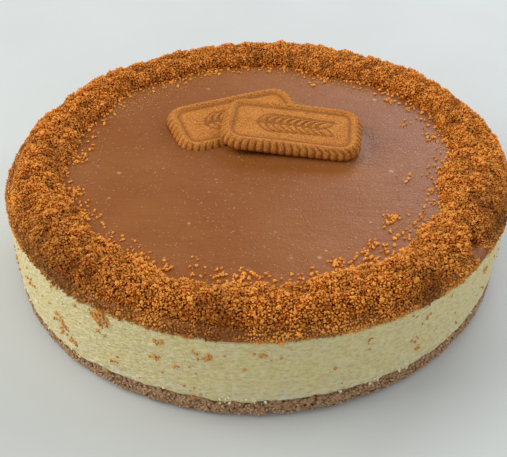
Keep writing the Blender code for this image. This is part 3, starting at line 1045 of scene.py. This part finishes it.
def ear_relief(x, y):
    """A plain ear of wheat on the panel: a stem and slanting grains, each with a pressed line round it."""
    pairs, step, tilt = 9, 3.0, math.radians(36)
    grain_length, grain_width, line = 3.0, 1.2, 0.75
    x, y = x / MM, y / MM
    height = 0.0
    if -20 < x < -10:
        height = 0.9 * math.exp(-((y - 0.015 * (x + 10) ** 2) / 0.6) ** 2)
    for i in range(pairs):
        for side in (-1, 1):
            dx, dy = x - (-10.5 + step * i), y - side * (3.1 - 0.15 * i)
            if abs(dx) > 5 or abs(dy) > 4:
                continue
            turn = side * tilt
            u = dx * math.cos(turn) + dy * math.sin(turn)
            v = -dx * math.sin(turn) + dy * math.cos(turn)
            reach = math.hypot(u / grain_length, v / grain_width)
            if reach < 1.0:
                height = max(height, 1.0 - reach * reach)
            elif reach < 1.0 + line:
                height = min(height, -0.75 * math.sin(math.pi * (reach - 1.0) / line))
    return height


def biscuit_top(x, y, fold, seed):
    """Height of the biscuit's upper face and how much painted shade its grooves get there, from 0 to 1."""
    inside = inset_in_biscuit(x, y)
    spot = Vector((x, y, seed))
    if inside < BORDER_WIDTH:
        # The border rounds off to the fluted side, which is notched between its folds.
        share = max(0.0, inside) / BORDER_WIDTH
        notch = 0.9 * MM * (1 - fold) ** 2 * min(1.0, (1 - share) * 1.8)
        notch *= 1 + 0.8 * crags(spot, 5 * MM, 9.0)
        height = -2.5 * MM * (1 - share) ** 2.2 - notch
        groove_shade_and_browning = 0.9 * (1 - fold) ** 2 * min(1.0, (1 - share) * 1.6)
    elif inside < PANEL_INSET + PANEL_EDGE:
        share = (inside - BORDER_WIDTH) / (PANEL_INSET + PANEL_EDGE - BORDER_WIDTH)
        height = -(PANEL_DEPTH + 0.25 * MM) * (3 * share ** 2 - 2 * share ** 3)
        groove_shade_and_browning = 0.6 * max(0.0, share - 0.55) / 0.45
    else:
        share = min(1.0, (inside - PANEL_INSET - PANEL_EDGE) / (2.2 * MM))
        ear = ear_relief(x, y)
        height = -PANEL_DEPTH - 0.25 * MM * (1 - share) + 0.42 * MM * ear
        groove_shade_and_browning = max(0.6 * (1 - share) ** 2, -0.75 * ear)
    sand = 0.10 * MM * crags(spot, 1.1 * MM) + 0.07 * MM * crags(spot, 0.6 * MM, 3.0)
    height += sand + 0.2 * MM * crags(spot, 9 * MM, 5.0)
    return BISCUIT_THICKNESS - 0.1 * MM + height, groove_shade_and_browning


def make_biscuit(name, matrix, seed, material):
    """Finger biscuit with a fluted edge, a raised border, and a sunken panel with an ear of wheat."""
    count = FLUTES * 8
    # The side's rings: inset in mm, share of the flutes' depth, and height in mm.
    sides = (
        (4.0, 0.0, 0.0), (2.0, 0.0, 0.0), (1.2, 0.4, 0.35), (0.7, 0.8, 0.9), (0.35, 1.0, 1.5),
        (0.15, 1.0, 2.1), (0.15, 1.0, 2.7), (0.25, 1.0, 3.2), (0.45, 1.0, 3.6),
    )
    rings, groove_shades_and_browning = [], []
    for inset, flute, height in sides:
        ring = []
        for spot, fold in biscuit_outline(count, inset * MM, 0.75 * flute * FLUTE_DEPTH):
            place = Vector((spot.x, spot.y, 0.92 * height * MM))
            rough = 0.12 * MM * crags(place, 1.2 * MM, seed) if height else 0.0
            ring.append(place + Vector((spot.x, spot.y, 0)).normalized() * rough)
            # Painted shade in the valleys between the flutes, and the whole side a little browner.
            groove_shades_and_browning.append(0.5 * (1 - fold) ** 2 + 0.15)
        rings.append(ring)
    edge = biscuit_outline(count, 0.7 * MM, 0.65 * FLUTE_DEPTH)
    for share in steps(1.0, 0.015, 62):
        ring = []
        for i, (spot, _) in enumerate(edge):
            x, y = spot.x * share, spot.y * share
            fold = abs(math.sin(math.pi * (FLUTES * i / count + 3.5 * (1 - share))))
            height, groove_shade_and_browning = biscuit_top(x, y, fold, seed)
            ring.append(Vector((x, y, height)))
            groove_shades_and_browning.append(groove_shade_and_browning)
        rings.append(ring)
    verts, faces = skin(rings)
    piece = add_piece(name, [matrix @ v for v in verts], faces, material)
    groove_shades_and_browning += [0.0, 0.0]
    piece.data.attributes.new("groove_shade_and_browning", "FLOAT", "POINT").data.foreach_set("value", groove_shades_and_browning)
    return piece


# Operators

class CAKE_OT_base(bpy.types.Operator):
    """Adds the pressed crumb base and the crumbs that stand out of its side"""

    bl_idname = "cheesecake.add_base"
    bl_label = "Add crumb base"

    def execute(self, context):
        finish_piece(make_base_side(base_finish()), "crumb_base", "crumb_base")
        draw = random.Random(sizes().seed)
        kinds = seed_crumbs("base_kind", count=5, rounds=1, rough=0.5, draw=draw)
        width = sizes().base_crumb
        grain = crumb_finish("pressed_grain", *map(linear, PRESSED_GRAIN))
        tree = crumb_tree("Crumbs on the base", True)
        grains = lay_crumbs("base_grains", base_emitter(), tree, Crumbs=kinds, Finish=grain,
                            Spacing=0.98 * MM, Smallest=0.6 * width, Largest=1.4 * width, Lift=-0.2, Seed=3)
        remove_group(kinds)
        finish_piece(grains, "crumb_base")
        return {"FINISHED"}


class CAKE_OT_cheese(bpy.types.Operator):
    """Adds the set cheese filling"""

    bl_idname = "cheesecake.add_cheese"
    bl_label = "Add cheese filling"

    def execute(self, context):
        finish_piece(make_cheese_body(cheese_finish()), "cheese_filling", "cheese_filling")
        draw = random.Random(sizes().seed + 3)
        kinds = seed_crumbs("curd_kind", count=5, rounds=1, rough=0.8, draw=draw)
        curd = crumb_finish("broken_cheese", *map(linear, BROKEN_CHEESE))
        tree = crumb_tree("Bits on the cheese", True)
        bits = lay_crumbs("cheese_bits", curd_emitter(), tree, Crumbs=kinds, Finish=curd, Spacing=1.1 * MM,
                          Smallest=0.5 * MM, Largest=1.3 * MM, Lift=-0.3, Seed=31)
        remove_group(kinds)
        finish_piece(bits, "cheese_filling")
        return {"FINISHED"}


class CAKE_OT_spread(bpy.types.Operator):
    """Adds the layer of biscuit spread"""

    bl_idname = "cheesecake.add_spread"
    bl_label = "Add spread"

    def execute(self, context):
        finish_piece(make_spread_body(spread_finish()), "spread_layer", "spread_layer")
        return {"FINISHED"}


class CAKE_OT_rim(bpy.types.Operator):
    """Adds the heap of crumbs round the rim: its body and the loose crumbs over it, in three sizes"""

    bl_idname = "cheesecake.add_rim"
    bl_label = "Add crumb rim"

    def execute(self, context):
        finish_piece(make_bank_core(heap_finish()), "biscuit_crumbs", "crumb_ring")
        draw = random.Random(sizes().seed + 1)
        fine = seed_crumbs("fine_kind", count=8, rounds=0, rough=0.7, draw=draw)
        middling = seed_crumbs("middling_kind", count=9, rounds=0, rough=0.8, draw=draw)
        coarse = seed_crumbs("coarse_kind", count=6, rounds=1, rough=0.9, draw=draw)
        emitter = rim_emitter()
        tree = crumb_tree("Crumbs on the heap", True)
        crumb = crumb_finish("broken_biscuit", *heap_colours())
        for name, kinds, width, spacing, lift, seed in (
            ("rim_fine_crumbs", fine, sizes().fine_crumb, 1.15, 0.45, 11),
            ("rim_middling_crumbs", middling, sizes().middling_crumb, 1.1, 0.20, 12),
            ("rim_coarse_crumbs", coarse, sizes().coarse_crumb, 2.3, 0.0, 13),
        ):
            crumbs = lay_crumbs(name, emitter, tree, Crumbs=kinds, Finish=crumb, Spacing=spacing * width,
                                Smallest=0.7 * width, Largest=1.3 * width, Lift=lift, Seed=seed)
            finish_piece(crumbs, "biscuit_crumbs")
        for kinds in (fine, middling, coarse):
            remove_group(kinds)
        return {"FINISHED"}


class CAKE_OT_strays(bpy.types.Operator):
    """Adds the crumbs that fell on the spread, the fine dust, and the crumbs stuck to the cheese's side"""

    bl_idname = "cheesecake.add_strays"
    bl_label = "Add stray crumbs"

    def execute(self, context):
        draw = random.Random(sizes().seed + 2)
        kinds = seed_crumbs("stray_kind", count=6, rounds=1, rough=0.6, draw=draw)
        loose = crumb_tree("Crumbs where they fell", False)
        stuck = crumb_tree("Crumbs on the cheese", True)
        crumb = crumb_finish("stray_biscuit", *heap_colours())
        damp = crumb_finish("stuck_biscuit", *map(linear, STUCK_CRUMB))
        pale = crumb_finish("biscuit_dust", *map(linear, BISCUIT_DUST))
        fallen = fallen_points(draw, FALLEN_GROUPS, reach=1.7 * MM, rest=0.35 * MM)
        fallen += edge_points(draw, count=900, deepest=0.07, rest=0.35 * MM)
        dust = fallen_points(draw, DUST_PATCHES, reach=5.0 * MM, rest=0.1 * MM)
        dust += edge_points(draw, count=900, deepest=0.12, rest=0.1 * MM)
        for name, points, finish, low, high, seed in (
            ("fallen_crumbs", fallen, crumb, 0.6, 1.5, 21),
            ("crumb_dust", dust, pale, 0.22, 0.5, 22),
        ):
            piece = lay_crumbs(name, points_mesh(name + "_places", points), loose, Crumbs=kinds,
                               Finish=finish, Smallest=low * MM, Largest=high * MM, Seed=seed)
            finish_piece(piece, "biscuit_crumbs")
        places = points_mesh("stuck_places", stuck_points(draw, STUCK_GROUPS))
        clusters = lay_crumbs("stuck_crumbs", places, loose, Crumbs=kinds, Finish=damp, Smallest=0.5 * MM,
                              Largest=1.7 * MM, Seed=24)
        finish_piece(clusters, "biscuit_crumbs")
        side = lay_crumbs("side_crumbs", cheese_emitter(), stuck, Crumbs=kinds, Finish=damp, Spacing=0.9 * MM,
                          Smallest=0.5 * MM, Largest=1.5 * MM, Lift=0.0, Seed=23)
        finish_piece(side, "biscuit_crumbs")
        remove_group(kinds)
        return {"FINISHED"}


class CAKE_OT_biscuits(bpy.types.Operator):
    """Adds the two finger biscuits"""

    bl_idname = "cheesecake.add_biscuits"
    bl_label = "Add biscuits"

    def execute(self, context):
        baked = biscuit_finish()
        back = make_biscuit("back_biscuit", back_matrix(), 1.7, baked)
        finish_piece(back, "baked_biscuit", "biscuit_back")
        front = make_biscuit("front_biscuit", front_matrix(), 4.2, baked)
        finish_piece(front, "baked_biscuit", "biscuit_front")
        return {"FINISHED"}


def add_softbox(name, place, target, width, height, power, code):
    light = bpy.data.lights.new(name, "AREA")
    light.shape = "RECTANGLE"
    light.size = width
    light.size_y = height
    light.energy = power
    light.color = linear(code)
    lamp = bpy.data.objects.new(name, light)
    lamp.location = place
    lamp.rotation_euler = (Vector(target) - Vector(place)).to_track_quat("-Z", "Y").to_euler()
    bpy.context.scene.collection.objects.link(lamp)


class CAKE_OT_stage(bpy.types.Operator):
    """Adds the pale floor, the soft lights and the camera"""

    bl_idname = "cheesecake.add_stage"
    bl_label = "Add stage"

    def execute(self, context):
        scene = context.scene
        quarters = ((-1, -1), (1, -1), (1, 1), (-1, 1))
        corners = [(x * FLOOR_REACH, y * FLOOR_REACH, -FLOOR_DROP) for x, y in quarters]
        add_piece("floor", corners, [(0, 1, 2, 3)], floor_finish())
        for light in LIGHTS:
            add_softbox(*light)
        world = bpy.data.worlds.new("daylight")
        world.use_nodes = True
        sky = world.node_tree.nodes["Background"]
        sky.inputs["Color"].default_value = tint(SKY)
        sky.inputs["Strength"].default_value = SKY_STRENGTH
        scene.world = world
        scene.view_settings.view_transform = "Standard"
        ahead = (CAMERA_TARGET - CAMERA_PLACE).normalized()
        right = ahead.cross(Vector((0, 0, 1))).normalized()
        up = right.cross(ahead)
        cos, sin = math.cos(CAMERA_ROLL), math.sin(CAMERA_ROLL)
        right, up = cos * right + sin * up, cos * up - sin * right
        lens = bpy.data.cameras.new("camera")
        lens.sensor_width = SENSOR_WIDTH
        lens.lens = FOCAL_SHARE * lens.sensor_width
        lens.clip_start = 0.01
        camera = bpy.data.objects.new("camera", lens)
        facing = Matrix((right, up, -ahead)).transposed().to_4x4()
        camera.matrix_world = Matrix.Translation(CAMERA_PLACE) @ facing
        scene.collection.objects.link(camera)
        scene.camera = camera
        return {"FINISHED"}


OPERATORS = (
    CAKE_OT_base, CAKE_OT_cheese, CAKE_OT_spread, CAKE_OT_rim, CAKE_OT_strays, CAKE_OT_biscuits,
    CAKE_OT_stage,
)


class CAKE_PT_panel(bpy.types.Panel):
    """Lists the cake's pieces in the 3D view's sidebar"""

    bl_idname = "CAKE_PT_panel"
    bl_label = "Cheesecake"
    bl_space_type = "VIEW_3D"
    bl_region_type = "UI"
    bl_category = "Cheesecake"

    def draw(self, context):
        for group in (context.scene.cake_sizes, context.scene.cake_colours):
            box = self.layout.box()
            for name in group.__annotations__:
                box.prop(group, name)
        for operator in OPERATORS:
            self.layout.operator(operator.bl_idname)


CLASSES = (CakeSizes, CakeColours, *OPERATORS, CAKE_PT_panel)


def register():
    for cls in CLASSES:
        bpy.utils.register_class(cls)
    bpy.types.Scene.cake_sizes = PointerProperty(type=CakeSizes)
    bpy.types.Scene.cake_colours = PointerProperty(type=CakeColours)


def unregister():
    del bpy.types.Scene.cake_colours
    del bpy.types.Scene.cake_sizes
    for cls in reversed(CLASSES):
        bpy.utils.unregister_class(cls)


def main():
    register()
    bpy.ops.cheesecake.add_stage()
    bpy.ops.cheesecake.add_base()
    bpy.ops.cheesecake.add_cheese()
    bpy.ops.cheesecake.add_spread()
    bpy.ops.cheesecake.add_rim()
    bpy.ops.cheesecake.add_strays()
    bpy.ops.cheesecake.add_biscuits()


if __name__ == "__main__":
    main()
